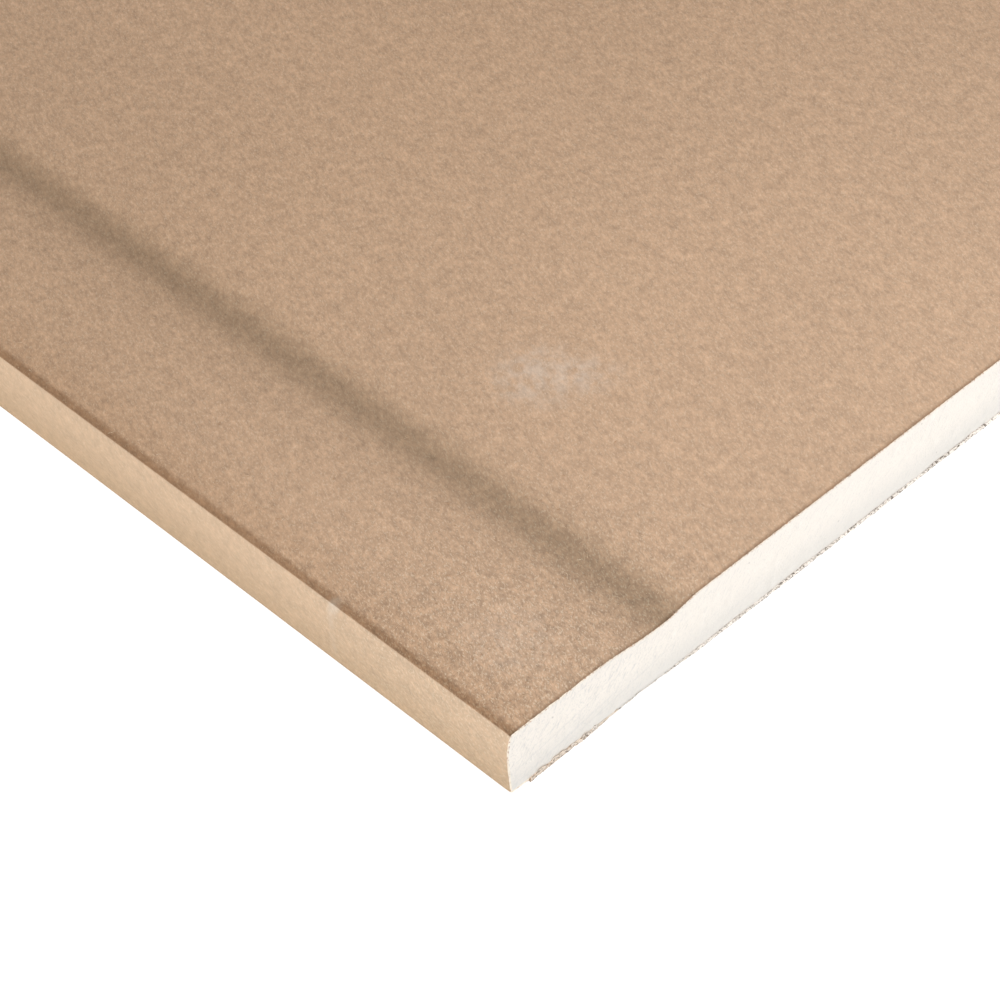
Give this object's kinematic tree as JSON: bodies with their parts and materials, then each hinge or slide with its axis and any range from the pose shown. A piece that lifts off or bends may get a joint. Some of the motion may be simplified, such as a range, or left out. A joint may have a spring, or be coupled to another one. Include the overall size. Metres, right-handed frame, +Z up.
{
  "type": "drywall sheet",
  "caption": "Flat rectangular building board: a white gypsum core faced with brown paper, with a dished taper along each paper-wrapped long edge and plain cut ends.",
  "frame": {"origin": "centre of the sheet's outline, on the underside of its back paper", "axes": "+X along the sheet's length and its bound edges, +Y across its width, +Z up out of the face that is seen once the sheet is fixed"},
  "size_m": [2.4, 1.2, 0.0125],
  "materials": {
    "gypsum": "chalky matt",
    "face_paper": "matt brown recycled paper",
    "back_paper": "rough grey-brown recycled paper"
  },
  "bodies": {
    "root": {"gypsum_core": "gypsum", "face_paper": "face_paper", "back_paper": "back_paper"}
  },
  "joints": []
}
